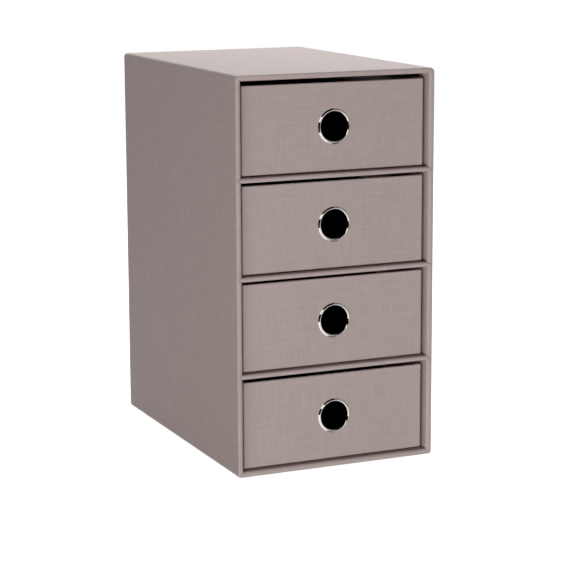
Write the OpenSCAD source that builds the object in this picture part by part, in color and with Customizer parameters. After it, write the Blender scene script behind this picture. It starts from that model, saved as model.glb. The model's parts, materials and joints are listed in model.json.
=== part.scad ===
// Desktop chest of four small drawers, built as paper-covered greyboard.
// Millimetres. The front faces -Y, +Z is up, and the origin is the middle of the footprint,
// at the level that the chest stands on.

/* [Casing] */
// Overall width of the casing
case_w = 135; // [100:1:320]
// Overall depth of the casing, front to back
case_d = 200; // [120:1:360]
// Overall height of the casing, with its base sheet
case_h = 250; // [190:1:420]
// Thickness of the casing's boards, without their paper
case_board = 3; // [1.8:0.1:4]
// Thickness of the back board
back_board = 2; // [1.2:0.1:4]
// Outer radius of the casing's two upper corners, where its boards fold round
corner_r = 3.2; // [1.5:0.1:6]
// Outer radius of the two corners that it stands on, which are pressed tighter
base_corner_r = 1.8; // [0.8:0.1:6]
// Radius of the papered outer edges of the walls, and of the lower front edge of a shelf
edge_r = 0.8; // [0.5:0.1:1.6]
// Radius of the softer edges that the paper is folded over: the inner front edges of the walls and
// the upper front edge of a shelf
fold_r = 1.8; // [0.5:0.1:2.4]

/* [Shelves] */
// Thickness of a shelf's board, without its paper
shelf_board = 2.4; // [1.6:0.1:4]
// How much taller the top and bottom compartments are than the two between them
end_extra = 0.7; // [0:0.1:4]

/* [Paper] */
// Thickness of the cloth-textured cover paper and of the linings
paper = 0.3; // [0.15:0.05:0.4]
// Width of cover paper that is turned in behind the casing's front edges
turn_in = 14; // [6:1:25]
// Width of cover paper that is turned over onto the back board
back_lap = 12; // [7:1:25]
// Distance from the casing's edges to the edges of the back and base sheets
sheet_inset = 3.5; // [2:0.5:5]

/* [Drawers] */
// Distance from the casing's front edges back to the drawer fronts
recess = 4.3; // [1:0.1:10]
// Clearance between a drawer and the wall on each side
side_gap = 2; // [0.5:0.1:4]
// Clearance above a drawer in the two middle compartments
top_gap = 2.5; // [0.8:0.1:5]
// Running clearance under a drawer
rest_gap = 0.3; // [0.1:0.05:0.8]
// Clearance behind a closed drawer
rear_gap = 1; // [0.5:0.1:5]
// Thickness of a drawer's boards, without their paper
drawer_board = 1.8; // [1.2:0.1:3]
// Radius of a drawer's upright corners
drawer_corner_r = 1.8; // [0.6:0.1:4]
// Radius of the edge between a drawer's walls and its underside
drawer_edge_r = 1.6; // [0.5:0.1:1.8]
// Radius of a drawer's rim
rim_r = 0.9; // [0.4:0.1:1]
// Height of cover paper that is turned in over a drawer's rim
rim_lap = 12; // [6:1:14]

/* [Eyelets] */
// Height of the eyelet's centre above the middle of the drawer front
eyelet_rise = 0.4; // [-5:0.1:5]
// Inner radius of the finger eyelet
eyelet_bore_r = 9.4; // [7:0.1:11]
// Radial width of the rolled flange that shows round the finger hole
eyelet_flange = 1.75; // [1.4:0.05:3]
// Radial width of the eyelet's clinched rear roll
eyelet_clinch = 1.6; // [1.2:0.05:2.5]
// Thickness of the eyelet's sheet metal
eyelet_metal = 0.4; // [0.25:0.05:0.5]
// Radial clearance between the eyelet's barrel and what it passes through
eyelet_fit = 0.05; // [0.02:0.01:0.15]
// Radial width of the washer behind the drawer front
washer_width = 2.2; // [1.8:0.1:4]
// Thickness of that washer
washer_t = 0.5; // [0.3:0.1:1]

/* [Hidden] */

// Colours
COVER = [0.63, 0.57, 0.55];
LINING = [0.08, 0.08, 0.09];
GREYBOARD = [0.58, 0.54, 0.48];
NICKEL = [0.80, 0.79, 0.76];

// Facets of an arc: corner_steps is even, so that a point lies on every mitre
corner_steps = 4;
edge_steps = 3;
round_fn = 96;
roll_fn = 32;
// Radius of an inside corner, where a corner's own radius has run out
tight_r = 0.2;
// Least flat that is left between the two rounded edges of a wall
edge_flat = 0.1;

drawers = 4;
shelves = drawers - 1;
// Order of the four corners round an outline, and so of the four walls between them
TOP_WALL = 0;
LEFT_WALL = 1;
BOTTOM_WALL = 2;
RIGHT_WALL = 3;

// Casing: a wall is board with paper on both faces, and the cover stands on the base sheet
case_wall = case_board + 2 * paper;
cover_h = case_h - paper;
cover_mid_z = paper + cover_h / 2;
casing_radii = [corner_r, base_corner_r];
wall_edge_r = min(edge_r, (case_wall - edge_flat) / 2);
wall_fold_r = min(fold_r, case_wall - edge_flat - wall_edge_r);
inner_w = case_w - 2 * case_wall;
front_y = -case_d / 2;
rear_y = case_d / 2;
// The back board's two faces, under the turned-over cover and the back sheet
back_board_rear_y = rear_y - 2 * paper;
back_board_front_y = back_board_rear_y - back_board;
inner_back_y = back_board_front_y - paper;

// Shelves divide the clear height, and the end compartments get a little more of it
shelf_t = shelf_board + 2 * paper;
shelf_edge_r = min(edge_r, (shelf_t - edge_flat) / 2);
shelf_fold_r = min(fold_r, shelf_t - edge_flat - shelf_edge_r);
floor_z = paper + case_wall;
clear_h = case_h - case_wall - floor_z - shelves * shelf_t;
compartment_h = (clear_h - 2 * end_extra) / drawers;

// Drawers: one size, and the middle compartments are the tight ones
drawer_w = inner_w - 2 * side_gap;
drawer_h = compartment_h - rest_gap - top_gap;
drawer_front_y = front_y + recess;
drawer_d = inner_back_y - rear_gap - drawer_front_y;
drawer_mid_y = drawer_front_y + drawer_d / 2;
drawer_wall = drawer_board + 2 * paper;
drawer_floor_z = paper + drawer_board;
drawer_rim_r = min(rim_r, (drawer_wall - edge_flat) / 2);
drawer_base_r = min(drawer_edge_r, drawer_floor_z);
drawer_radii = [drawer_corner_r, drawer_corner_r];

// Eyelet: radii of the barrel and of the rolls at its two ends
barrel_r = eyelet_bore_r + eyelet_metal;
flange_roll_r = eyelet_flange / 2;
clinch_roll_r = eyelet_clinch / 2;
barrel_length = drawer_wall + washer_t;
cut_through = 1;

// Height of the top face of the floor under drawer k, counted from the top drawer
function compartment_floor(k) =
    k == drawers ? floor_z : floor_z + end_extra + (drawers - k) * (compartment_h + shelf_t);
function drawer_z(k) = compartment_floor(k) + rest_gap;

// Points on an arc about [x, y], from angle a to angle b
function arc(x, y, r, a, b) =
    [for (i = [0:edge_steps]) let (t = a + (b - a) * i / edge_steps) [x + r * cos(t), y + r * sin(t)]];

// Outline of a w by h rectangle, drawn in by inset. The round corners share their centres at every
// inset, and radii holds the outer radius of the two upper corners and that of the two lower ones
function outline(w, h, inset, radii) =
    [for (k = [0:3], i = [0:corner_steps])
        let (right = k == 0 || k == 3, top = k < 2, own_r = max(radii[top ? 0 : 1] - inset, tight_r),
            x = w / 2 - inset - own_r, y = h / 2 - inset - own_r, t = 90 * (k + i / corner_steps))
        [(right ? x : -x) + own_r * cos(t), (top ? y : -y) + own_r * sin(t)]];

outline_points = 4 * (corner_steps + 1);

// Points of a profile of [inset, height] pairs carried round the outline, one row for each pair
function rows(profile, w, h, radii, picks) =
    [for (p = profile) let (ring = outline(w, h, p[0], radii))
        for (i = picks) [ring[i % outline_points][0], ring[i % outline_points][1], p[1]]];

// Two triangles between neighbouring rows and columns of such points
function cell(row, next_row, column, next_column, columns) =
    let (a = row * columns + column, b = row * columns + next_column,
        c = next_row * columns + next_column, d = next_row * columns + column)
    [[a, c, b], [a, d, c]];

// A closed profile carried all the way round the outline, like a picture frame
module frame_sweep(profile, w, h, radii) {
    columns = outline_points;
    count = len(profile);
    faces = [for (i = [0:count - 1], j = [0:columns - 1])
        each cell(i, (i + 1) % count, j, (j + 1) % columns, columns)];
    polyhedron(rows(profile, w, h, radii, [0:columns - 1]), faces);
}

// The same profile along one wall only, from mitre to mitre
module wall_sweep(profile, w, h, radii, wall) {
    first = wall * (corner_steps + 1) + corner_steps / 2;
    columns = corner_steps + 2;
    count = len(profile);
    sides = [for (i = [0:count - 1], j = [0:columns - 2])
        each cell(i, (i + 1) % count, j, j + 1, columns)];
    start_cap = [for (i = [count - 1:-1:0]) i * columns];
    end_cap = [for (i = [0:count - 1]) i * columns + columns - 1];
    polyhedron(rows(profile, w, h, radii, [first:first + columns - 1]), concat(sides, [start_cap, end_cap]));
}

// An open profile carried round the outline and closed by a flat sheet at each end, like a tray
module tray_sweep(profile, w, h, radii) {
    columns = outline_points;
    count = len(profile);
    sides = [for (i = [0:count - 2], j = [0:columns - 1])
        each cell(i, i + 1, j, (j + 1) % columns, columns)];
    start_cap = [for (j = [0:columns - 1]) j];
    end_cap = [for (j = [columns - 1:-1:0]) (count - 1) * columns + j];
    polyhedron(rows(profile, w, h, radii, [0:columns - 1]), concat(sides, [start_cap, end_cap]));
}

// Stands a shape drawn in the plane of the casing's front upright, with its height towards the front
module face_forward() {
    translate([0, 0, cover_mid_z]) rotate([90, 0, 0]) children();
}

// A flat sheet or board parallel to the casing's back, from y_front to y_rear
module upright_sheet(inset, y_front, y_rear) {
    face_forward()
        translate([0, 0, -y_rear])
            linear_extrude(y_rear - y_front) polygon(outline(case_w, cover_h, inset, casing_radii));
}

// ---- casing ----

// Outer contour of the cover, as [inset, distance in front of the middle], from back to front
function cover_contour(skin) =
    let (e = wall_edge_r, f = wall_fold_r, back = -rear_y + paper, front = -front_y)
    concat(
        arc(e, back + e, e - skin, 270, 180),
        arc(e, front - e, e - skin, 180, 90),
        arc(case_wall - f, front - f, f - skin, 90, 0));

function reversed(list) = [for (i = [len(list) - 1:-1:0]) list[i]];

// One sheet round all four walls, turned in at the front and over the back board
module outer_cover() {
    front = -front_y;
    back = -rear_y + paper;
    profile = concat(
        [[back_lap, back]], cover_contour(0), [[case_wall, front - turn_in]],
        [[case_wall - paper, front - turn_in]], reversed(cover_contour(paper)), [[back_lap, back + paper]]);
    color(COVER) face_forward() frame_sweep(profile, case_w, cover_h, casing_radii);
}

// A wall's board, mitred into its neighbours and rounded along its front edge
module casing_board(wall) {
    profile = concat(cover_contour(paper), [[case_wall - paper, -back_board_rear_y]]);
    color(GREYBOARD) face_forward() wall_sweep(profile, case_w, cover_h, casing_radii, wall);
}

module back_panel() {
    color(GREYBOARD) upright_sheet(case_wall - paper, back_board_front_y, back_board_rear_y);
}

// Black paper inside the walls, from the turned-in cover to the back board
module inner_lining() {
    front = -front_y - turn_in;
    back = -back_board_front_y;
    profile = [[case_wall - paper, back], [case_wall - paper, front], [case_wall, front], [case_wall, back]];
    color(LINING) face_forward() frame_sweep(profile, case_w, cover_h, casing_radii);
}

module back_lining() {
    color(LINING) upright_sheet(case_wall, inner_back_y, back_board_front_y);
}

// Sheet pasted over the back board and the turned-over margin of the cover
module back_sheet() {
    color(COVER) {
        upright_sheet(sheet_inset, rear_y - paper, rear_y);
        upright_sheet(back_lap, back_board_rear_y, rear_y - paper);
    }
}

// Sheet pasted under the casing, over the seam of the cover
module base_sheet() {
    size = [case_w - 2 * sheet_inset, case_d - 2 * sheet_inset, paper];
    color(COVER) translate([-size[0] / 2, -size[1] / 2, 0]) cube(size);
}

// ---- shelves ----

// Rounded front end of a shelf's cross-section, as [y, height above the shelf's middle]
function shelf_nose(skin) =
    let (e = shelf_edge_r, f = shelf_fold_r, half = shelf_t / 2)
    concat(
        arc(front_y + f, half - f, f - skin, 90, 180),
        arc(front_y + e, e - half, e - skin, 180, 270));

module shelf_sweep(section, k) {
    middle = compartment_floor(k) - shelf_t / 2;
    translate([-inner_w / 2, 0, middle]) rotate([90, 0, 90]) linear_extrude(inner_w) polygon(section);
}

module shelf_board_at(k) {
    half = shelf_board / 2;
    section = concat([[inner_back_y, half]], shelf_nose(paper), [[inner_back_y, -half]]);
    color(GREYBOARD) shelf_sweep(section, k);
}

// Cover paper folded round the front edge of a shelf, over its top face and its underside
module shelf_cover(k) {
    half = shelf_t / 2;
    section = concat(
        [[inner_back_y, half]], shelf_nose(0), [[inner_back_y, -half], [inner_back_y, paper - half]],
        reversed(shelf_nose(paper)), [[inner_back_y, half - paper]]);
    color(COVER) shelf_sweep(section, k);
}

// ---- drawers ----

module place_drawer(k) {
    translate([0, drawer_mid_y, drawer_z(k)]) children();
}

// Moves a shape turned about Z to the finger hole in drawer k's front, with its +Z pointing out
module face_drawer_front(k) {
    translate([0, drawer_front_y, drawer_z(k) + drawer_h / 2 + eyelet_rise]) rotate([90, 0, 0]) children();
}

module finger_hole(k) {
    depth = drawer_wall + washer_t + 2 * cut_through;
    face_drawer_front(k)
        translate([0, 0, cut_through - depth]) cylinder(h = depth, r = barrel_r + eyelet_fit, $fn = round_fn);
}

// Rim of a drawer's wall as [inset, height], from the outside to the inside
function rim(skin) =
    let (e = drawer_rim_r, own_r = e - skin)
    concat(
        arc(e, drawer_h - e, own_r, 180, 90),
        arc(drawer_wall - e, drawer_h - e, own_r, 90, 0));

// Edge between the underside and the walls, as [inset, height], from below
function base_edge(skin) =
    arc(drawer_base_r, drawer_base_r, drawer_base_r - skin, 270, 180);

module drawer_wall_board(k, wall) {
    profile = concat([[paper, drawer_floor_z]], rim(paper), [[drawer_wall - paper, drawer_floor_z]]);
    place_drawer(k) wall_sweep(profile, drawer_w, drawer_d, drawer_radii, wall);
}

module drawer_front(k) {
    color(GREYBOARD) difference() {
        drawer_wall_board(k, BOTTOM_WALL);
        finger_hole(k);
    }
}

module drawer_side(k, wall) {
    color(GREYBOARD) drawer_wall_board(k, wall);
}

module drawer_base(k) {
    profile = concat(base_edge(paper), [[paper, drawer_floor_z]]);
    color(GREYBOARD) place_drawer(k) tray_sweep(profile, drawer_w, drawer_d, drawer_radii);
}

// Cover paper under and round the drawer and turned in over its rim
module drawer_cover(k) {
    lap_z = drawer_h - rim_lap;
    profile = concat(
        base_edge(0), rim(0), [[drawer_wall, lap_z], [drawer_wall - paper, lap_z]],
        reversed(rim(paper)), reversed(base_edge(paper)));
    color(COVER) difference() {
        place_drawer(k) tray_sweep(profile, drawer_w, drawer_d, drawer_radii);
        finger_hole(k);
    }
}

// Black paper inside the drawer, up to the turned-in cover
module drawer_lining(k) {
    lap_z = drawer_h - rim_lap;
    profile = [
        [drawer_wall - paper, drawer_floor_z], [drawer_wall - paper, lap_z],
        [drawer_wall, lap_z], [drawer_wall, drawer_floor_z + paper]];
    color(LINING) difference() {
        place_drawer(k) tray_sweep(profile, drawer_w, drawer_d, drawer_radii);
        finger_hole(k);
    }
}

// Half of a rolled edge's section: a ring of sheet metal, cut along the face that it lands on
module roll_section(roll_r) {
    intersection() {
        difference() {
            circle(roll_r, $fn = roll_fn);
            circle(roll_r - eyelet_metal, $fn = roll_fn);
        }
        translate([-roll_r, 0]) square([2 * roll_r, roll_r]);
    }
}

// Rolled flange, barrel and clinched rear roll, turned from one sheet
module eyelet(k) {
    color(NICKEL) face_drawer_front(k) rotate_extrude($fn = round_fn) union() {
        translate([eyelet_bore_r + flange_roll_r, 0]) roll_section(flange_roll_r);
        translate([eyelet_bore_r, -barrel_length]) square([eyelet_metal, barrel_length]);
        translate([eyelet_bore_r + clinch_roll_r, -barrel_length]) mirror([0, 1]) roll_section(clinch_roll_r);
    }
}

module washer(k) {
    inner_r = barrel_r + eyelet_fit;
    color(NICKEL) face_drawer_front(k) translate([0, 0, -barrel_length]) difference() {
        cylinder(h = washer_t, r = inner_r + washer_width, $fn = round_fn);
        translate([0, 0, -cut_through]) cylinder(h = washer_t + 2 * cut_through, r = inner_r, $fn = round_fn);
    }
}

casing_board(LEFT_WALL);  // left_board
casing_board(RIGHT_WALL);  // right_board
casing_board(TOP_WALL);  // top_board
casing_board(BOTTOM_WALL);  // bottom_board
back_panel();  // back_board
outer_cover();
inner_lining();
back_lining();
back_sheet();
base_sheet();
shelf_board_at(1);  // shelf_1_board
shelf_board_at(2);  // shelf_2_board
shelf_board_at(3);  // shelf_3_board
shelf_cover(1);  // shelf_1_cover
shelf_cover(2);  // shelf_2_cover
shelf_cover(3);  // shelf_3_cover
drawer_front(1);  // drawer_1_front
drawer_side(1, LEFT_WALL);  // drawer_1_left
drawer_side(1, RIGHT_WALL);  // drawer_1_right
drawer_side(1, TOP_WALL);  // drawer_1_back
drawer_base(1);  // drawer_1_base
drawer_cover(1);  // drawer_1_cover
drawer_lining(1);  // drawer_1_lining
eyelet(1);  // drawer_1_eyelet
washer(1);  // drawer_1_washer
drawer_front(2);  // drawer_2_front
drawer_side(2, LEFT_WALL);  // drawer_2_left
drawer_side(2, RIGHT_WALL);  // drawer_2_right
drawer_side(2, TOP_WALL);  // drawer_2_back
drawer_base(2);  // drawer_2_base
drawer_cover(2);  // drawer_2_cover
drawer_lining(2);  // drawer_2_lining
eyelet(2);  // drawer_2_eyelet
washer(2);  // drawer_2_washer
drawer_front(3);  // drawer_3_front
drawer_side(3, LEFT_WALL);  // drawer_3_left
drawer_side(3, RIGHT_WALL);  // drawer_3_right
drawer_side(3, TOP_WALL);  // drawer_3_back
drawer_base(3);  // drawer_3_base
drawer_cover(3);  // drawer_3_cover
drawer_lining(3);  // drawer_3_lining
eyelet(3);  // drawer_3_eyelet
washer(3);  // drawer_3_washer
drawer_front(4);  // drawer_4_front
drawer_side(4, LEFT_WALL);  // drawer_4_left
drawer_side(4, RIGHT_WALL);  // drawer_4_right
drawer_side(4, TOP_WALL);  // drawer_4_back
drawer_base(4);  // drawer_4_base
drawer_cover(4);  // drawer_4_cover
drawer_lining(4);  // drawer_4_lining
eyelet(4);  // drawer_4_eyelet
washer(4);  // drawer_4_washer
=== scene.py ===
"""Looks of a paper-covered chest of four small drawers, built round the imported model.

Metres, in the model's own frame: the front faces -Y, +Z is up, the origin is the middle of the footprint.
"""

import json
import math

import bmesh
import bpy
import numpy as np
from mathutils import Matrix, Vector

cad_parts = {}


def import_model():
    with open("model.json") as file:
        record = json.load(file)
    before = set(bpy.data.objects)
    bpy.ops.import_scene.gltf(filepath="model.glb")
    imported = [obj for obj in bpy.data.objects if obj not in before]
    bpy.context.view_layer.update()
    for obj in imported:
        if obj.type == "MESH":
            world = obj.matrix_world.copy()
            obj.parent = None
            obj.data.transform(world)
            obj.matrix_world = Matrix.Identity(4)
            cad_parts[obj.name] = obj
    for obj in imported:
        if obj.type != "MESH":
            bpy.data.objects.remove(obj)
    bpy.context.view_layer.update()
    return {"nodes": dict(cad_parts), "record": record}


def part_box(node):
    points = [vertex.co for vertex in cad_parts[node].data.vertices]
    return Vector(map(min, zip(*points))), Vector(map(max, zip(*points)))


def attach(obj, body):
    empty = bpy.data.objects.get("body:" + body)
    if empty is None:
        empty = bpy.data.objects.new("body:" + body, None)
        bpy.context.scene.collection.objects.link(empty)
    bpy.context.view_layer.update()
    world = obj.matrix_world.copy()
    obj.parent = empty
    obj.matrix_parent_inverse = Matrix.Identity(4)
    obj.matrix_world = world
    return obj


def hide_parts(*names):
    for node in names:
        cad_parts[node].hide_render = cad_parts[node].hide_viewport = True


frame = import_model()

MM = 0.001
DRAWERS = (1, 2, 3, 4)
SHELVES = (1, 2, 3)

# ---- Sizes that aren't taken from the frame

# Thickness of the cover paper, and the widths of it that are turned over onto the back board and over
# a drawer's rim
PAPER = 0.3 * MM
BACK_LAP = 12 * MM
RIM_LAP = 12 * MM
# Outer radii of the casing's corners: top right, top left, and the tighter two that it stands on
CASING_RADII = (3.2 * MM, 2.6 * MM, 1.8 * MM, 1.8 * MM)
# Radius of the walls' outer edges and of the lower front edge of a shelf
EDGE_R = 0.8 * MM
# Radius of the walls' inner front edges and of the upper front edge of a shelf, where paper is drawn over
FOLD_R = 1.8 * MM
# Radii of a drawer's upright corners, of the edge under its front and back, and of its rim
DRAWER_CORNER_R = 1.2 * MM
DRAWER_RADII = (DRAWER_CORNER_R,) * 4
DRAWER_EDGE_R = 1.8 * MM
RIM_R = 0.9 * MM
# Share by which the edge under a drawer's sides is narrower than the one under its front and back
SIDE_EDGE_CUT = 0.6
# Length of the paper ears round a drawer's corners, the width of their step and how far the flaps sink there
EAR = 13 * MM
EAR_STEP = 1 * MM
EAR_SINK = 0.12 * MM
# Least radius of a corner, for outlines that are drawn in by more than the corner's own radius
TIGHT_R = 0.2 * MM
# Distance from a rounded edge to the first row of points on the flat beside it
GUARD = 0.5 * MM

# Score line beside each folded corner of the casing, drawn by the first of these rows beside the corner
SCORE_DEPTH = 0.07 * MM
SCORE_ROWS = (0.9 * MM, 1.8 * MM, 2.7 * MM)
# Crease in each mitre of the casing's front edge, and how many points of the corner it spreads over
MITRE_DEPTH = 0.22 * MM
MITRE_SPREAD = 1.6
# Crease round each pointed end of a shelf, how far from the wall's inner face it starts, and how much
# longer than the point it is
CREASE_WIDTH = 0.42 * MM
CREASE_DEPTH = 0.36 * MM
CREASE_START = 0.12 * MM
CREASE_EXTRA = 0.1 * MM
# Thickness of an eyelet's metal, and radius of the roll behind the board that holds it
METAL = 0.4 * MM
CLINCH = 0.8 * MM

# Points along round corners, rounded edges, creases and long stretches
CORNER_STEPS = 10
EDGE_STEPS = 6
FOLD_STEPS = 10
CREASE_STEPS = 8
CASING_DEPTH_STEPS = 12
NOSE_STEPS = 24
CARD_STEPS = 24
HOLE_STEPS = 96
EYELET_STEPS = 128

# Angle in degrees from which the shading breaks at an edge, on paper and on metal
PAPER_SHARP = 50
METAL_SHARP = 40

# How rubbed an edge is, from 0 to 1: the paper of edges that are folded and handled is paler and smoother
RUBBED_BACK = 0.7
RUBBED_FRONT = 0.8
RUBBED_FOLD = 0.6
RUBBED_NOSE = 0.8
RUBBED_RIM = 0.8
RUBBED_BASE = 0.1


# ---------------------------------------------------------------- materials


class Tree:
    """Shorthand for building the nodes of a material or of the world."""

    def __init__(self, owner):
        owner.use_nodes = True
        self.owner = owner
        self.nodes = owner.node_tree.nodes
        self.links = owner.node_tree.links
        self.shader = self.nodes.get("Principled BSDF")

    def put(self, socket, value):
        if isinstance(value, bpy.types.NodeSocket):
            self.links.new(value, socket)
        elif value is not None:
            socket.default_value = value

    def add(self, kind, inputs=None, **settings):
        node = self.nodes.new(kind)
        for key, value in settings.items():
            setattr(node, key, value)
        for key, value in (inputs or {}).items():
            self.put(node.inputs[key], value)
        return node

    def shade(self, inputs):
        """Sets inputs of the main shader by their names."""
        for key, value in inputs.items():
            self.put(self.shader.inputs[key], value)

    def math(self, operation, a, b=None, clamp=False):
        node = self.add("ShaderNodeMath", operation=operation, use_clamp=clamp)
        for socket, value in zip(node.inputs, (a, b)):
            self.put(socket, value)
        return node.outputs[0]

    def times(self, a, b):
        return self.math("MULTIPLY", a, b)

    def weighted(self, *pairs):
        """Sum of values, each times its weight."""
        total, *rest = [self.times(value, weight) for value, weight in pairs]
        for part in rest:
            total = self.math("ADD", total, part)
        return total

    def mean(self, a, b):
        return self.times(self.math("ADD", a, b), 0.5)

    def mix(self, factor, a, b):
        """A number between a and b."""
        return self.add("ShaderNodeMix", {0: factor, 2: a, 3: b}, data_type="FLOAT").outputs[0]

    def tint(self, factor, a, b):
        """A colour between a and b."""
        return self.add("ShaderNodeMix", {0: factor, 6: a, 7: b}, data_type="RGBA").outputs[2]

    def ramp(self, value, low, high, out_low=0.0, out_high=1.0):
        node = self.add("ShaderNodeMapRange", {0: value, 1: low, 2: high, 3: out_low, 4: out_high})
        return node.outputs[0]

    def noise(self, place, scale, detail, roughness=0.5):
        inputs = {"Vector": place, "Scale": scale, "Detail": detail, "Roughness": roughness}
        return self.add("ShaderNodeTexNoise", inputs).outputs["Fac"]

    def face_plane(self):
        """Metres along the two directions of the face that a point is on, and the number of that face."""
        steepness = 0.71
        place = self.add("ShaderNodeTexCoord").outputs["Object"]
        x, y, z = self.add("ShaderNodeSeparateXYZ", {0: place}).outputs
        normal = self.add("ShaderNodeNewGeometry").outputs["True Normal"]
        nx, _, nz = self.add("ShaderNodeSeparateXYZ", {0: normal}).outputs
        on_side = self.math("GREATER_THAN", self.math("ABSOLUTE", nx), steepness)
        on_top = self.math("GREATER_THAN", self.math("ABSOLUTE", nz), steepness)
        number = self.math("ADD", on_side, self.times(on_top, 2))
        return self.mix(on_side, x, y), self.mix(on_top, z, y), number

    def grain(self, plane, across, up, detail, roughness=0.5, layer=0):
        """Noise on a face, with so many features per metre across and up. Each layer is another pattern."""
        u, v, face = plane
        number = self.math("ADD", face, layer) if layer else face
        place = self.add("ShaderNodeCombineXYZ", {0: self.times(u, across), 1: self.times(v, up), 2: number})
        return self.noise(place.outputs[0], 1.0, detail, roughness)

    def bump(self, height, distance, strength):
        inputs = {"Height": height, "Distance": distance, "Strength": strength}
        return self.add("ShaderNodeBump", inputs).outputs[0]

    def shows_white(self):
        """1 for rays from the camera and for those that gloss or glass sends on, and otherwise 0."""
        path = self.add("ShaderNodeLightPath").outputs
        direct = self.math("ADD", path["Is Camera Ray"], path["Is Glossy Ray"])
        return self.math("ADD", direct, path["Is Transmission Ray"], clamp=True)


def new_material(name):
    return Tree(bpy.data.materials.new(name))


def weave_pattern(t, plane):
    """Height of crossed threads that pass over and under each other and wander a little."""
    pitch, under = 0.46 * MM, 0.45
    drift_density, drift_gain, warp_drift, weft_drift = 90, 1.6, 2.2, 2.7
    u, v, _ = plane
    drift = t.grain(plane, drift_density, drift_density, detail=2)
    wander = t.times(t.math("SUBTRACT", drift, 0.5), drift_gain)
    turn = 2 * math.pi / pitch
    warp_phase = t.math("ADD", t.times(u, turn), t.times(wander, warp_drift))
    weft_phase = t.math("SUBTRACT", t.times(v, turn), t.times(wander, weft_drift))
    warp = t.ramp(t.math("SINE", warp_phase), -1, 1)
    weft = t.ramp(t.math("SINE", weft_phase), -1, 1)
    crossing = t.times(t.math("SINE", t.times(warp_phase, 0.5)), t.math("SINE", t.times(weft_phase, 0.5)))
    over = t.ramp(crossing, -1, 1)
    return t.math(
        "MAXIMUM", t.times(warp, t.mix(over, under, 1.0)), t.times(weft, t.mix(over, 1.0, under)))


def streaks(t, plane, thin, long, detail, layers):
    """Streaks along both directions of thread, with so many of them per metre across and along."""
    upright = t.grain(plane, thin, long, detail, layer=layers[0])
    level = t.grain(plane, long, thin, detail, layer=layers[1])
    return t.mean(upright, level)


def cloth_paper(name, dark, light):
    """Cover paper embossed like linen: threads, slubs and streaks that run along them, and rubbed edges."""
    relief_depth, relief_strength, rubbed_gain = 0.05 * MM, 0.48, 1.16
    contrast = (0.36, 0.64)
    t = new_material(name)
    plane = t.face_plane()
    weave = weave_pattern(t, plane)
    slub = streaks(t, plane, thin=1500, long=75, detail=2, layers=(0, 7))
    streak = streaks(t, plane, thin=420, long=36, detail=3, layers=(3, 11))
    cloud = t.grain(plane, 22, 22, detail=3)
    tone = t.weighted(
        (t.ramp(slub, *contrast), 0.42), (t.ramp(streak, *contrast), 0.28), (cloud, 0.12), (weave, 0.12))
    colour = t.tint(tone, (*dark, 1), (*light, 1))
    rub = t.add("ShaderNodeAttribute", attribute_name="edge").outputs["Fac"]
    patchy = t.ramp(t.grain(plane, 260, 260, detail=3), 0.45, 0.75)
    pale = tuple(min(1.0, c * rubbed_gain) for c in light)
    relief = t.math("ADD", t.times(weave, t.mix(slub, 0.6, 1.3)), t.times(streak, 0.5))
    t.shade({
        "Base Color": t.tint(t.times(rub, t.mix(patchy, 0.12, 0.42)), colour, (*pale, 1)),
        "Roughness": t.mix(t.times(rub, 0.6), t.mix(weave, 0.78, 0.62), 0.55),
        "Specular IOR Level": 0.34,
        "Normal": t.bump(relief, relief_depth, relief_strength),
    })
    return t.owner


def black_paper(name):
    """Plain black lining paper, with its fibre."""
    t = new_material(name)
    plane = t.face_plane()
    fibre = t.grain(plane, 1900, 1500, detail=4, roughness=0.6)
    tone = t.weighted((fibre, 0.7), (t.grain(plane, 40, 40, detail=3), 0.3))
    t.shade({
        "Base Color": t.tint(tone, (0.006, 0.006, 0.007, 1), (0.016, 0.016, 0.018, 1)),
        "Roughness": t.mix(fibre, 0.62, 0.85),
        "Specular IOR Level": 0.25,
        "Normal": t.bump(fibre, distance=0.03 * MM, strength=0.5),
    })
    return t.owner


def greyboard(name):
    """Raw grey cardboard: pressed waste-paper fibre with dark flecks."""
    t = new_material(name)
    plane = t.face_plane()
    fibre = t.grain(plane, 700, 1300, detail=5, roughness=0.65)
    fleck = t.ramp(t.grain(plane, 2600, 1700, detail=1), 0.62, 0.72)
    base = t.tint(t.ramp(fibre, 0.3, 0.7), (0.20, 0.18, 0.15, 1), (0.30, 0.27, 0.23, 1))
    t.shade({
        "Base Color": t.tint(t.times(fleck, 0.5), base, (0.10, 0.09, 0.08, 1)),
        "Roughness": t.mix(fibre, 0.8, 0.95),
        "Normal": t.bump(fibre, distance=0.06 * MM, strength=0.6),
    })
    return t.owner


def nickel(name):
    """Polished nickel plate, with fine marks and a few duller spots."""
    t = new_material(name)
    place = t.add("ShaderNodeTexCoord").outputs["Object"]
    haze = t.noise(place, 900.0, detail=3)
    fine = t.noise(place, 5200.0, detail=2)
    t.shade({
        "Base Color": t.tint(haze, (0.80, 0.78, 0.73, 1), (0.90, 0.88, 0.83, 1)),
        "Metallic": 1.0,
        "Roughness": t.ramp(haze, 0.35, 0.7, out_low=0.05, out_high=0.1),
        "Normal": t.bump(fine, distance=0.004 * MM, strength=0.4),
    })
    return t.owner


# Finish of each of the record's material slots
FINISHES = {
    "cover_paper": cloth_paper("cover_paper", dark=(0.362, 0.295, 0.280), light=(0.463, 0.379, 0.361)),
    "lining_paper": black_paper("lining_paper"),
    "greyboard": greyboard("greyboard"),
    "eyelet_metal": nickel("nickel"),
}


# ---------------------------------------------------------------- mesh helpers


def arc(x, y, r, start, end, steps=EDGE_STEPS):
    """Points on an arc about (x, y), angles in degrees."""
    turn = [math.radians(start + (end - start) * i / steps) for i in range(steps + 1)]
    return [(x + r * math.cos(a), y + r * math.sin(a)) for a in turn]


def rubbed(points, share):
    """Rows of a profile that are rubbed by that share."""
    return [(x, y, share) for x, y in points]


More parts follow.
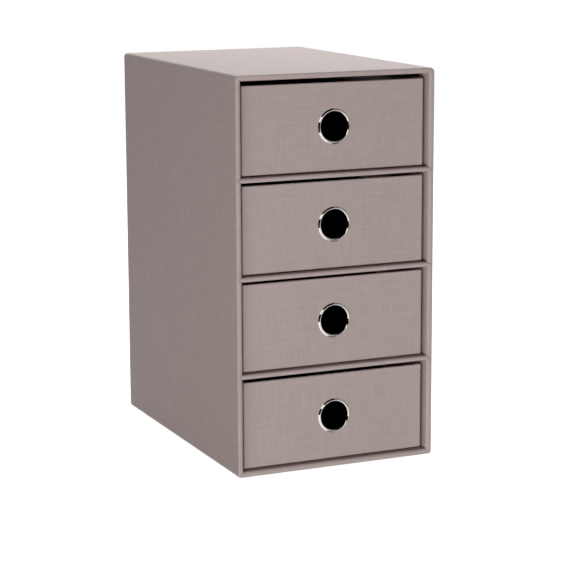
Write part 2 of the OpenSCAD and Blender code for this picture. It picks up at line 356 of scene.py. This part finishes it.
def outline(width, height, inset, radii, spans):
    """A rectangle with round corners, drawn in by inset, and how rubbed its points are at the corners.

    spans gives where points fall between two corners, from 0 to 1.
    """
    corners = []
    for k, (sx, sy) in enumerate(((1, 1), (-1, 1), (-1, -1), (1, -1))):
        own_r = max(radii[k] - inset, TIGHT_R)
        x, y = width / 2 - inset - own_r, height / 2 - inset - own_r
        corners.append(arc(sx * x, sy * y, own_r, 90 * k, 90 * k + 90, CORNER_STEPS))
    points, wear = [], []
    for k, corner in enumerate(corners):
        points += corner
        wear += [math.sin(math.pi * i / CORNER_STEPS) ** 0.5 for i in range(CORNER_STEPS + 1)]
        a, b = np.array(corner[-1]), np.array(corners[(k + 1) % 4][0])
        points += [tuple(a + (b - a) * share) for share in spans[k]]
        wear += [0.0] * len(spans[k])
    return points, wear


def spans_for(length, marks, pieces):
    """Shares of a straight of that length: beside each end, at each mark from it, and evenly between."""
    near = [GUARD / length] + [m / length for m in marks]
    inner = [near[-1] + (1 - 2 * near[-1]) * i / pieces for i in range(1, pieces)]
    return near + inner + [1 - s for s in reversed(near)]


def strips(rows, columns, closed):
    """Faces between neighbouring rows of points, each row a ring. closed joins the last row to the first."""
    faces = []
    for i in range(rows if closed else rows - 1):
        for j in range(columns):
            a, b = i * columns + j, i * columns + (j + 1) % columns
            below = (i + 1) % rows
            faces.append((a, b, below * columns + (j + 1) % columns, below * columns + j))
    return faces


def caps(rows, columns):
    """The two end faces of such rows."""
    last = (rows - 1) * columns
    return [tuple(reversed(range(columns))), tuple(last + j for j in range(columns))]


def sweep(profile, width, height, radii, spans, closed, shape):
    """Carries a profile of (inset, height, rubbed share) rows round the outline.

    shape(point, row, column) may move a point. Corners are rubbed on the outside of the paper only.
    """
    verts, edge, columns = [], [], 0
    for row, (inset, level, share) in enumerate(profile):
        ring, wear = outline(width, height, inset, radii, spans)
        columns = len(ring)
        outside = inset < PAPER / 2
        for column, (x, y) in enumerate(ring):
            verts.append(shape(Vector((x, y, level)), row, column))
            edge.append(max(share, wear[column] if outside else 0.0))
    faces = strips(len(profile), columns, closed)
    if not closed:
        faces += caps(len(profile), columns)
    return verts, faces, edge


def outward_mesh(name, verts, faces):
    """A mesh whose faces all look outwards."""
    mesh = bpy.data.meshes.new(name)
    mesh.from_pydata(verts, [], faces)
    work = bmesh.new()
    work.from_mesh(mesh)
    bmesh.ops.recalc_face_normals(work, faces=work.faces)
    work.to_mesh(mesh)
    work.free()
    return mesh


def new_object(name, data):
    made = bpy.data.objects.new(name, data)
    bpy.context.scene.collection.objects.link(made)
    return made


def make_piece(name, verts, faces, slot, edge=None, turn=None, sharp=PAPER_SHARP):
    """A mesh object with smooth shading that stays flat across flat faces, in the finish of its slot."""
    mesh = outward_mesh(name, [tuple(turn @ v if turn else v) for v in verts], faces)
    if edge is not None:
        attribute = mesh.attributes.new("edge", "FLOAT", "POINT")
        attribute.data.foreach_set("value", np.array(edge, np.float32))
    mesh.materials.append(FINISHES[slot])
    mesh.polygons.foreach_set("use_smooth", [True] * len(mesh.polygons))
    mesh.set_sharp_from_angle(angle=math.radians(sharp))
    piece = new_object(name, mesh)
    weighted = piece.modifiers.new("normals", "WEIGHTED_NORMAL")
    weighted.keep_sharp = True
    weighted.weight = 100
    return piece


def dress(piece, body, node):
    """The piece moves with the body and stands for the node."""
    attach(piece, body)
    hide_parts(node)


def cut(piece, volumes):
    """Takes closed volumes, each of points and faces, out of the piece for good."""
    verts, faces = [], []
    for own_verts, own_faces in volumes:
        start = len(verts)
        verts += own_verts
        faces += [tuple(start + i for i in face) for face in own_faces]
    cutter = new_object("cutter", outward_mesh("cutter", verts, faces))
    modifier = piece.modifiers.new("cut", "BOOLEAN")
    modifier.operation = "DIFFERENCE"
    modifier.solver = "EXACT"
    modifier.object = cutter
    weighted = piece.modifiers["normals"]
    weighted.show_viewport = weighted.show_render = False
    made = bpy.data.meshes.new_from_object(piece.evaluated_get(bpy.context.evaluated_depsgraph_get()))
    piece.modifiers.remove(modifier)
    old = piece.data
    piece.data = made
    bpy.data.meshes.remove(old)
    weighted.show_viewport = weighted.show_render = True
    bpy.data.objects.remove(cutter)


def groove_volume(path, width, depth):
    """A groove that follows (x, y, z) points of a front surface, with upright sides and a V at its bottom."""
    above, least_share, corners = 0.5 * MM, 0.3, 5
    points = [Vector((x, z)) for x, y, z in path]
    verts = []
    for i, point in enumerate(points):
        before = (point - points[i - 1]).normalized() if i else None
        after = (points[i + 1] - point).normalized() if i + 1 < len(points) else None
        along = ((before or after) + (after or before)).normalized()
        side = Vector((-along.y, along.x))
        reach = width / 2 / max(least_share, abs(along.dot(before or after)))
        left, right, y = point + side * reach, point - side * reach, path[i][1]
        verts += [(left.x, y - above, left.y), (left.x, y, left.y), (point.x, y + depth, point.y)]
        verts += [(right.x, y, right.y), (right.x, y - above, right.y)]
    return verts, strips(len(points), corners, closed=False) + caps(len(points), corners)


def bar_volume(centre, radius, length):
    """A round bar along Y through centre."""
    verts, faces = [], []
    count = 2 * HOLE_STEPS
    for i in range(HOLE_STEPS):
        a = 2 * math.pi * i / HOLE_STEPS
        x, z = centre.x + radius * math.cos(a), centre.z + radius * math.sin(a)
        verts += [(x, centre.y - length / 2, z), (x, centre.y + length / 2, z)]
        faces.append((2 * i, 2 * i + 1, (2 * i + 3) % count, (2 * i + 2) % count))
    faces += [tuple(range(0, count, 2)), tuple(reversed(range(1, count, 2)))]
    return verts, faces


# ---------------------------------------------------------------- casing


cover_low, cover_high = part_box("outer_cover")
WIDTH = cover_high.x - cover_low.x
HEIGHT = cover_high.z - cover_low.z
MID_Z = (cover_high.z + cover_low.z) / 2
FRONT = -cover_low.y
BACK = -cover_high.y
shelf_low, shelf_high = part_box("shelf_1_cover")
INNER_W = shelf_high.x - shelf_low.x
WALL = (WIDTH - INNER_W) / 2
TURN_IN_END = -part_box("inner_lining")[0].y
# How far a shelf's pointed end reaches across the wall's front edge
NOSE_TIP = 0.72 * WALL

# The casing's sections are drawn as (inset, distance in front of the middle) and stood up
STAND_UP = Matrix.Translation((0, 0, MID_Z)) @ Matrix.Rotation(math.radians(90), 4, "X")


def casing_profile():
    """Section of the cover: up the outside from the back, over the front edge, and back inside the paper."""
    depth = FRONT - BACK
    back_edge = BACK + EDGE_R
    front_edge, fold = FRONT - EDGE_R, FRONT - FOLD_R
    return (
        [(BACK_LAP, BACK, 0), (EDGE_R + GUARD, BACK, 0)]
        + rubbed(arc(EDGE_R, back_edge, EDGE_R, 270, 180), RUBBED_BACK)
        + [(0, back_edge + GUARD, 0)]
        + [(0, BACK + depth * i / CASING_DEPTH_STEPS, 0) for i in range(1, CASING_DEPTH_STEPS)]
        + [(0, front_edge - GUARD, 0)]
        + rubbed(arc(EDGE_R, front_edge, EDGE_R, 180, 90), RUBBED_FRONT)
        + rubbed(arc(WALL - FOLD_R, fold, FOLD_R, 90, 0, FOLD_STEPS), RUBBED_FOLD)
        + [(WALL, fold - GUARD, 0), (WALL, TURN_IN_END, 0), (WALL - PAPER, TURN_IN_END, 0)]
        + [(WALL - PAPER, fold, 0), (WALL / 2, fold + PAPER, 0), (PAPER, front_edge, 0)]
        + [(PAPER, back_edge, 0), (BACK_LAP, BACK + PAPER, 0)]
    )


def nose_crease(k, way):
    """Groove in the wall's front edge that follows both sides of one pointed end of shelf k."""
    low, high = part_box(f"shelf_{k}_cover")
    middle, half = (low.z + high.z) / 2, (high.z - low.z) / 2
    arm = []
    for i in range(CREASE_STEPS + 1):
        across = CREASE_START + (NOSE_TIP + CREASE_EXTRA) * i / CREASE_STEPS
        into = max(0.0, FOLD_R - across)
        sunk = FOLD_R - math.sqrt(FOLD_R * FOLD_R - into * into)
        arm.append((way * (INNER_W / 2 + across), sunk - FRONT, half * (1 - i / CREASE_STEPS)))
    upper = [(x, y, middle + h) for x, y, h in arm]
    lower = [(x, y, middle - h) for x, y, h in reversed(arm[:-1])]
    return groove_volume(upper + lower, CREASE_WIDTH, CREASE_DEPTH)


def casing_cover():
    """Paper round the four walls: a rolled front edge, the turn-in behind it and the margin over the back."""
    wide_pieces, high_pieces = 6, 12
    profile = casing_profile()
    spans = []
    for k, length in enumerate((WIDTH, HEIGHT, WIDTH, HEIGHT)):
        straight = length - CASING_RADII[k] - CASING_RADII[(k + 1) % 4]
        spans.append(spans_for(straight, SCORE_ROWS, high_pieces if k % 2 else wide_pieces))
    per_side = [CORNER_STEPS + 1 + len(s) for s in spans]
    starts = [sum(per_side[:k]) for k in range(4)]

    def shape(point, row, column):
        """A score line beside each folded corner, and a crease in each mitre of the front edge."""
        side = max(k for k in range(4) if column >= starts[k])
        step = column - starts[side]
        inset, level, share = profile[row]
        if inset == 0 and BACK + EDGE_R < level < FRONT - EDGE_R:
            from_corner = step - CORNER_STEPS - 1
            if from_corner in (1, len(spans[side]) - 2):
                across = Vector((1, 0, 0)) if side in (1, 3) else Vector((0, 1, 0))
                point = point - across * math.copysign(SCORE_DEPTH, point.dot(across))
        if level > FRONT - EDGE_R and share > 0 and step <= CORNER_STEPS:
            off = abs(step - CORNER_STEPS / 2)
            point = point - Vector((0, 0, MITRE_DEPTH * max(0.0, 1 - off / MITRE_SPREAD)))
        return point

    verts, faces, edge = sweep(profile, WIDTH, HEIGHT, CASING_RADII, spans, True, shape)
    piece = make_piece("casing_cover_paper", verts, faces, "cover_paper", edge, STAND_UP)
    cut(piece, [nose_crease(k, way) for k in SHELVES for way in (-1, 1)])
    dress(piece, "casing", "outer_cover")


def shelf_nose(k):
    """Paper folded round a shelf's front edge, whose pointed ends run into the edges of the walls."""
    tip_half, lower_share, end_depth = 0.04 * MM, 0.9, 3 * MM
    tip_sink, sink_from = 0.25 * MM, 0.55
    low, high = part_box(f"shelf_{k}_cover")
    half, middle = (high.z - low.z) / 2, (high.z + low.z) / 2
    ends = (0.1, 0.2, 0.3, 0.4, 0.6, 0.8, 1.0)
    stations = [-INNER_W / 2 - NOSE_TIP * s for s in reversed(ends)]
    stations += [-INNER_W / 2 + INNER_W * i / NOSE_STEPS for i in range(NOSE_STEPS + 1)]
    stations += [INNER_W / 2 + NOSE_TIP * s for s in ends]
    verts, edge, columns = [], [], 0
    for x in stations:
        past = max(0.0, abs(x) - INNER_W / 2) / NOSE_TIP
        h = max(half * (1 - past), tip_half)
        upper, lower = min(FOLD_R, h), min(EDGE_R, h * lower_share)
        depth = high.y if past == 0 else low.y + end_depth
        # The points sink where the wall's own edge is flat, so that they end in its creases
        front = low.y + tip_sink * min(1.0, max(0.0, past * NOSE_TIP / FOLD_R - sink_from))
        nose = [(depth, h), (front + upper + GUARD, h)]
        nose += arc(front + upper, h - upper, upper, 90, 180)
        nose += arc(front + lower, lower - h, lower, 180, 270)
        nose += [(front + lower + GUARD, -h), (depth, -h)]
        columns = len(nose)
        verts += [Vector((x, y, middle + z)) for y, z in nose]
        edge += [0.0, 0.0] + [RUBBED_NOSE] * (columns - 4) + [0.0, 0.0]
    faces = strips(len(stations), columns, closed=False) + caps(len(stations), columns)
    piece = make_piece(f"shelf_{k}_cover_paper", verts, faces, "cover_paper", edge)
    dress(piece, "casing", f"shelf_{k}_cover")


def pasted_sheet(node, low, high, flat_axis, outward):
    """A sheet of cover paper with softly cut edges, pasted on a face of the casing.

    flat_axis is the axis that the face looks along, and outward its sign.
    """
    margin, corner_r, soft, pieces = 1.2 * MM, 0.8 * MM, 0.12 * MM, 8
    rub_below, rub_edge, rub_above = 0.2, 0.6, 0.4
    first, second = [i for i in range(3) if i != flat_axis]
    size = [high[i] - low[i] for i in (first, second)]
    thick = high[flat_axis] - low[flat_axis]
    profile = [(margin, 0, 0), (0, 0, 0), (0, thick - soft, rub_below)]
    profile += [(soft * 0.4, thick - soft * 0.3, rub_edge), (soft, thick, rub_above), (margin, thick, 0)]

    def shape(point, row, column):
        """Lays the sheet on its face of the casing."""
        placed = Vector((0, 0, 0))
        placed[first] = (high[first] + low[first]) / 2 + point.x
        placed[second] = (high[second] + low[second]) / 2 + point.y
        placed[flat_axis] = low[flat_axis] + point.z if outward > 0 else high[flat_axis] - point.z
        return placed

    spans = [spans_for(size[k % 2], (), pieces) for k in range(4)]
    verts, faces, edge = sweep(profile, *size, (corner_r,) * 4, spans, False, shape)
    piece = make_piece(f"{node}_paper", verts, faces, "cover_paper", edge)
    dress(piece, "casing", node)


# ---------------------------------------------------------------- drawers


def eyelet_place(k):
    """Centre of the eyelet on the drawer's front face, and the radius of its flange."""
    low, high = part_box(f"drawer_{k}_eyelet")
    face_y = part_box(f"drawer_{k}_cover")[0].y
    return Vector(((low.x + high.x) / 2, face_y, (low.z + high.z) / 2)), (high.x - low.x) / 2


def drawer_profile(wall, height):
    """Section of a drawer's cover: under the base, up the outside, over the rim and back inside the paper."""
    e, rim_z, lap_z = DRAWER_EDGE_R, height - RIM_R, height - RIM_LAP
    return (
        [(e + GUARD, 0, 0)]
        + rubbed(arc(e, e, e, 270, 180), RUBBED_BASE)
        + [(0, e + GUARD, 0), (0, height / 2, 0), (0, rim_z - GUARD, 0)]
        + rubbed(arc(RIM_R, rim_z, RIM_R, 180, 90), RUBBED_RIM)
        + rubbed(arc(wall - RIM_R, rim_z, RIM_R, 90, 0), RUBBED_RIM)
        + [(wall, rim_z - GUARD, 0), (wall, lap_z, 0), (wall - PAPER, lap_z, 0)]
        + [(wall - PAPER, rim_z, 0), (PAPER, rim_z, 0), (PAPER, e, 0), (e, PAPER, 0)]
    )


def drawer_cover(k):
    """Paper wrapped round a drawer: soft edges, the laps at its corners and the turn-in over its rim."""
    hole_under_flange, corner_mark, wide_pieces, long_pieces = 1.2 * MM, 2 * MM, 8, 10
    low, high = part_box(f"drawer_{k}_cover")
    width, depth, height = high - low
    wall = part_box(f"drawer_{k}_front")[1].y - low.y + PAPER
    profile = drawer_profile(wall, height)
    ear_marks = (corner_mark, EAR - EAR_STEP / 2, EAR + EAR_STEP / 2)
    wide = spans_for(width - 2 * DRAWER_CORNER_R, (corner_mark,), wide_pieces)
    long = spans_for(depth - 2 * DRAWER_CORNER_R, ear_marks, long_pieces)

    def shape(point, row, column):
        """A narrower edge under the sides, and side flaps that sink where they no longer lie over ears."""
        inset, level, _ = profile[row]
        if level < DRAWER_EDGE_R and abs(point.x) > width / 2 - inset - DRAWER_CORNER_R:
            point = point + Vector((math.copysign(SIDE_EDGE_CUT * inset, point.x), 0, 0))
        past_ears = abs(point.y) < depth / 2 - DRAWER_CORNER_R - EAR
        if inset == 0 and level > 0 and past_ears and abs(point.x) > width / 2 - wall:
            point = point - Vector((math.copysign(EAR_SINK, point.x), 0, 0))
        return point

    verts, faces, edge = sweep(profile, width, depth, DRAWER_RADII, (wide, long, wide, long), False, shape)
    place = Matrix.Translation(((low.x + high.x) / 2, (low.y + high.y) / 2, low.z))
    piece = make_piece(f"drawer_{k}_cover_paper", verts, faces, "cover_paper", edge, place)
    centre, flange = eyelet_place(k)
    cut(piece, [bar_volume(centre, flange - hole_under_flange, 4 * wall)])
    piece.data.set_sharp_from_angle(angle=math.radians(PAPER_SHARP))
    dress(piece, f"drawer_{k}", f"drawer_{k}_cover")


def bent(start, way, turns, steps=5):
    """Section points that leave the crest at start, outwards or inwards.

    They go through turns of (radius, from tilt, to tilt).
    """
    u, h = start
    points = []
    for radius, first, last in turns:
        tilt = [math.radians(first + (last - first) * i / steps) for i in range(steps + 1)]
        for here, there in zip(tilt, tilt[1:]):
            u += way * radius * (math.sin(there) - math.sin(here))
            h -= radius * (math.cos(here) - math.cos(there))
            points.append((u, h))
    return points


def eyelet_section(flange, roll, rear):
    """Closed section of (radius, distance in front of the face), from the barrel's rear round the flange.

    The flange is a flat-sided roll: a throat that widens to the crest, and a slope that ends in a lip on
    the paper. flange is its outer radius, roll its height, and rear the place of the clinched roll.
    """
    crest_out, crest_r, slope, lip = 0.63 * MM, 0.4 * MM, 38, 0.2 * MM
    throat_turns = ((crest_r, 0, 32), (1.9 * MM, 32, 52), (0.25 * MM, 52, 90))
    throat_end, barrel_start, seat = -0.5 * MM, -1.4 * MM, -0.02 * MM
    lip_steps, inner_steps, outer_steps = 5, 8, 12
    bore = flange - 2 * roll
    tilt = math.radians(slope)
    crest = (bore + crest_out, roll)
    throat = bent(crest, -1, throat_turns)
    shoulder = bent(crest, 1, ((crest_r, 0, slope),))
    run = flange - lip + lip * math.sin(tilt) - shoulder[-1][0]
    lip_h = shoulder[-1][1] - run * math.tan(tilt) - lip * math.cos(tilt)
    return (
        [(bore, rear), (bore, barrel_start), (throat[-1][0], throat_end)]
        + throat[::-1] + [crest] + shoulder
        + arc(flange - lip, lip_h, lip, 90 - slope, 0, lip_steps)
        + [(flange, seat), (flange - METAL, seat), (crest[0], roll - METAL * 1.2)]
        + [(bore + METAL, -METAL), (bore + METAL, rear)]
        + arc(bore + CLINCH, rear, CLINCH - METAL, 180, 360, inner_steps)
        + arc(bore + CLINCH, rear, CLINCH, 360, 180, outer_steps)[:-1]
    )


def eyelet(k):
    """Rolled flange, barrel and clinched rear edge of a finger eyelet, turned from one section."""
    low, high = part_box(f"drawer_{k}_eyelet")
    centre, flange = eyelet_place(k)
    section = eyelet_section(flange, centre.y - low.y, centre.y - high.y + CLINCH)
    verts = []
    for i in range(EYELET_STEPS):
        a = 2 * math.pi * i / EYELET_STEPS
        verts += [
            Vector((centre.x + r * math.cos(a), centre.y - out, centre.z + r * math.sin(a)))
            for r, out in section]
    faces = strips(EYELET_STEPS, len(section), closed=True)
    piece = make_piece(f"drawer_{k}_eyelet_ring", verts, faces, "eyelet_metal", sharp=METAL_SHARP)
    dress(piece, f"drawer_{k}", f"drawer_{k}_eyelet")


casing_cover()
for k in SHELVES:
    shelf_nose(k)
back_low, back_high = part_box("back_sheet")
pasted_sheet("back_sheet", back_low, back_high, flat_axis=1, outward=1)
base_low, base_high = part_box("base_sheet")
pasted_sheet("base_sheet", base_low, base_high, flat_axis=2, outward=-1)
for k in DRAWERS:
    drawer_cover(k)
    eyelet(k)

# The model's own nodes that stay in view or inside keep their shape and get their finish
slots = {row["node"]: row["material_slot"] for row in frame["record"]["subparts"]}
for name, node in frame["nodes"].items():
    node.data.materials.clear()
    node.data.materials.append(FINISHES[slots[name]])


# ---------------------------------------------------------------- stage


def floor(half, glow, shadow, plain):
    """A floor that shows as white with the object's shadow, and sends little light back at the object.

    glow is its own white where it is seen, shadow the grey that takes the shadow there, and plain its
    grey for all other light.
    """
    corners = [(-half, -half, 0), (half, -half, 0), (half, half, 0), (-half, half, 0)]
    mesh = bpy.data.meshes.new("floor")
    mesh.from_pydata(corners, [], [(0, 1, 2, 3)])
    plane = new_object("floor", mesh)
    t = new_material("floor")
    t.nodes.remove(t.shader)
    seen = t.shows_white()
    dull = t.add("ShaderNodeBsdfDiffuse", {"Color": (plain, plain, plain, 1)}).outputs[0]
    shaded = t.add("ShaderNodeBsdfDiffuse", {"Color": (shadow, shadow, shadow, 1)}).outputs[0]
    white = t.add("ShaderNodeEmission", {"Color": (1, 1, 1, 1), "Strength": glow}).outputs[0]
    bright = t.add("ShaderNodeAddShader", {0: shaded, 1: white}).outputs[0]
    surface = t.add("ShaderNodeMixShader", {0: seen, 1: dull, 2: bright}).outputs[0]
    t.put(t.nodes["Material Output"].inputs["Surface"], surface)
    mesh.materials.append(t.owner)
    # The front lamp stands a little lower than the floor, as beside a table top, and shines past it
    plane.visible_shadow = False


def world(strength):
    """White where the camera, gloss or glass sees it, and a plain grey light on everything else."""
    scene = bpy.context.scene
    scene.world = scene.world or bpy.data.worlds.new("World")
    t = Tree(scene.world)
    t.nodes.clear()
    soft = t.add("ShaderNodeBackground", {"Color": (1, 1, 1, 1), "Strength": strength}).outputs[0]
    white = t.add("ShaderNodeBackground", {"Color": (1, 1, 1, 1), "Strength": 1.0}).outputs[0]
    surface = t.add("ShaderNodeMixShader", {0: t.shows_white(), 1: soft, 2: white}).outputs[0]
    t.add("ShaderNodeOutputWorld", {"Surface": surface})


def softbox(name, place, width, height, watts, in_gloss):
    """A rectangular lamp that faces the object. Polished metal shows it only if in_gloss is set."""
    target = Vector((0, 0, 0.13))
    data = bpy.data.lights.new(name, "AREA")
    data.shape = "RECTANGLE"
    data.size, data.size_y = width, height
    data.energy = watts
    lamp = new_object(name, data)
    lamp.visible_glossy = in_gloss
    lamp.visible_camera = False
    lamp.location = place
    lamp.rotation_euler = (target - Vector(place)).to_track_quat("-Z", "Y").to_euler()


def reflection_card(name, first, second, start, end, brightness):
    """A card bent round the object that only polished metal shows.

    first and second are the (radius, height) of its two rims, and start and end the angles that it spans,
    in degrees, counted from straight in front towards the left.
    """
    verts = []
    for i in range(CARD_STEPS + 1):
        a = math.radians(start + (end - start) * i / CARD_STEPS)
        verts += [(-r * math.sin(a), -r * math.cos(a), z) for r, z in (first, second)]
    faces = [(2 * i, 2 * i + 1, 2 * i + 3, 2 * i + 2) for i in range(CARD_STEPS)]
    mesh = bpy.data.meshes.new(name)
    mesh.from_pydata(verts, [], faces)
    card = new_object(name, mesh)
    t = new_material(name)
    t.nodes.remove(t.shader)
    shown = t.add("ShaderNodeEmission", {"Color": (1, 1, 1, 1), "Strength": brightness}).outputs[0]
    t.put(t.nodes["Material Output"].inputs["Surface"], shown)
    mesh.materials.append(t.owner)
    card.visible_camera = card.visible_diffuse = card.visible_shadow = card.visible_transmission = False


def camera(place, yaw, pitch, roll, lens, shift_y):
    """Stands left of the front and a little above the top. Angles in degrees, from looking along +Y."""
    data = bpy.data.cameras.new("camera")
    data.lens = lens
    data.sensor_width = 36
    data.shift_y = shift_y
    data.clip_start, data.clip_end = 0.05, 30
    view = new_object("camera", data)
    turn = Matrix.Rotation(math.radians(-yaw), 4, "Z") @ Matrix.Rotation(math.radians(90 - pitch), 4, "X")
    view.matrix_world = Matrix.Translation(place) @ turn @ Matrix.Rotation(math.radians(roll), 4, "Z")
    bpy.context.scene.camera = view


floor(half=6.0, glow=0.985, shadow=0.3, plain=0.25)
world(strength=0.05)
softbox("overhead", place=(0.55, 0.80, 1.25), width=1.2, height=1.2, watts=29, in_gloss=True)
softbox("front_left", place=(-0.74, -1.26, -0.12), width=2.6, height=0.2, watts=28, in_gloss=False)
reflection_card("dark_left", (1.3, 0.0), (1.3, 0.5), start=-2, end=110, brightness=0.0)
reflection_card("dark_floor_left", (0.45, 0.001), (1.3, 0.001), start=36, end=110, brightness=0.0)
reflection_card("grey_right", (1.4, 0.0), (1.4, 1.3), start=-110, end=-8, brightness=0.3)
reflection_card("grey_floor_right", (0.12, 0.001), (1.3, 0.001), start=-110, end=5, brightness=0.6)
reflection_card("dark_ceiling", (0.0, 1.7), (2.2, 1.7), start=-40, end=180, brightness=0.0)
reflection_card("grey_ceiling", (0.0, 1.7), (2.2, 1.7), start=-180, end=-40, brightness=0.18)
camera(place=(-0.5200, -1.1896, 0.3538), yaw=23.97, pitch=10.48, roll=-0.24, lens=124.6, shift_y=-0.037)

bpy.context.scene.view_settings.view_transform = "Standard"
